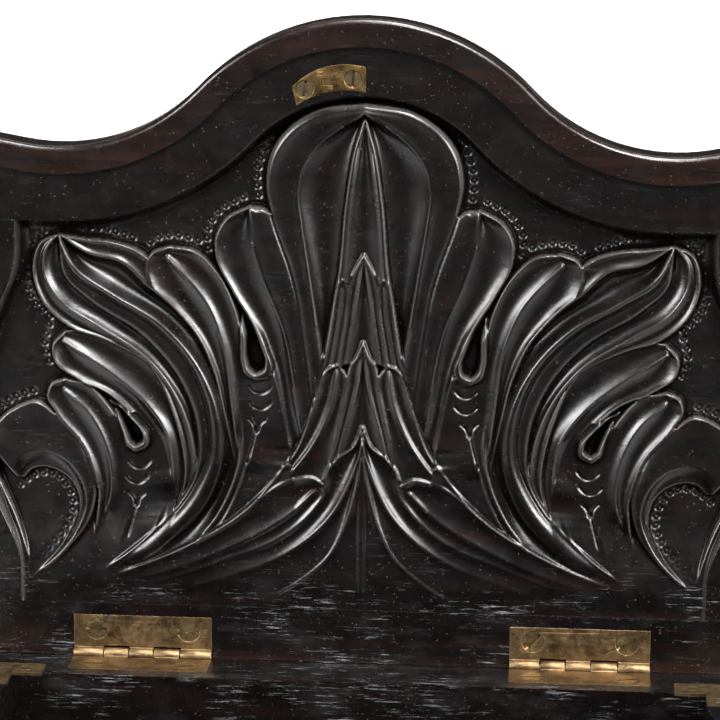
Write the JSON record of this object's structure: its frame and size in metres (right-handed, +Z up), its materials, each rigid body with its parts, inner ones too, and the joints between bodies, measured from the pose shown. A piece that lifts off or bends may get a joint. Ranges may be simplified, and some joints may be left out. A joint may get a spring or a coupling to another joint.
{
  "type": "carved box headrest",
  "caption": "Serpentine ebony pillow box: lock-up case and brass-hinged lid with a dished top, carved inside with a palmette of scrolled leaves.",
  "frame": {"origin": "centre of the underside, where the box rests on a surface", "axes": "+X to the right along the hinge line, +Y towards the hinged back, +Z up"},
  "size_m": [0.328, 0.265, 0.3182],
  "materials": {
    "ebony": "satin",
    "ebony_moulding": "waxed",
    "carved_ebony": "waxed, rubbed on the ridges",
    "aged_brass": "aged",
    "brass_screws": "aged",
    "link_brass": "aged",
    "lock_steel": "dull"
  },
  "bodies": {
    "case": {"case_front": "ebony", "case_back": "ebony", "case_left": "ebony", "case_right": "ebony", "bottom_board": "ebony", "base_moulding_front": "ebony", "base_moulding_left": "ebony", "base_moulding_right": "ebony", "corner_strap_back_left": "aged_brass", "corner_strap_back_right": "aged_brass", "corner_strap_front_left": "aged_brass", "corner_strap_front_right": "aged_brass", "corner_strap_screws": "brass_screws", "hinge_leaf_case_left": "aged_brass", "hinge_leaf_case_right": "aged_brass", "hinge_pin_left": "aged_brass", "hinge_pin_right": "aged_brass", "hinge_screws_case": "brass_screws", "lock_case": "lock_steel", "lock_selvedge": "link_brass", "lock_spring": "lock_steel", "lock_screws": "brass_screws", "escutcheon": "link_brass", "escutcheon_pins": "brass_screws"},
    "lid": {"lid_rail_front": "ebony", "lid_rail_back": "ebony", "lid_stile_left": "ebony", "lid_stile_right": "ebony", "lid_top_board": "ebony", "lid_moulding_front": "ebony_moulding", "lid_moulding_left": "ebony_moulding", "lid_moulding_right": "ebony_moulding", "lid_moulding_back": "ebony_moulding", "carved_panel": "carved_ebony", "hinge_leaf_lid_left": "aged_brass", "hinge_leaf_lid_right": "aged_brass", "hinge_screws_lid": "brass_screws", "link_plate": "link_brass", "link_plate_screws": "brass_screws"},
    "bolt": {"lock_bolt": "lock_steel"}
  },
  "joints": [
    {"name": "lid_hinge", "type": "hinge", "parent": "case", "child": "lid", "pos_m": [0, 0.1121, 0.08615], "axis": [1, 0, 0], "range_deg": [0, 93]},
    {"name": "bolt_slide", "type": "slide", "parent": "case", "child": "bolt", "axis": [-1, 0, 0], "range_m": [0, 0.0035]}
  ]
}
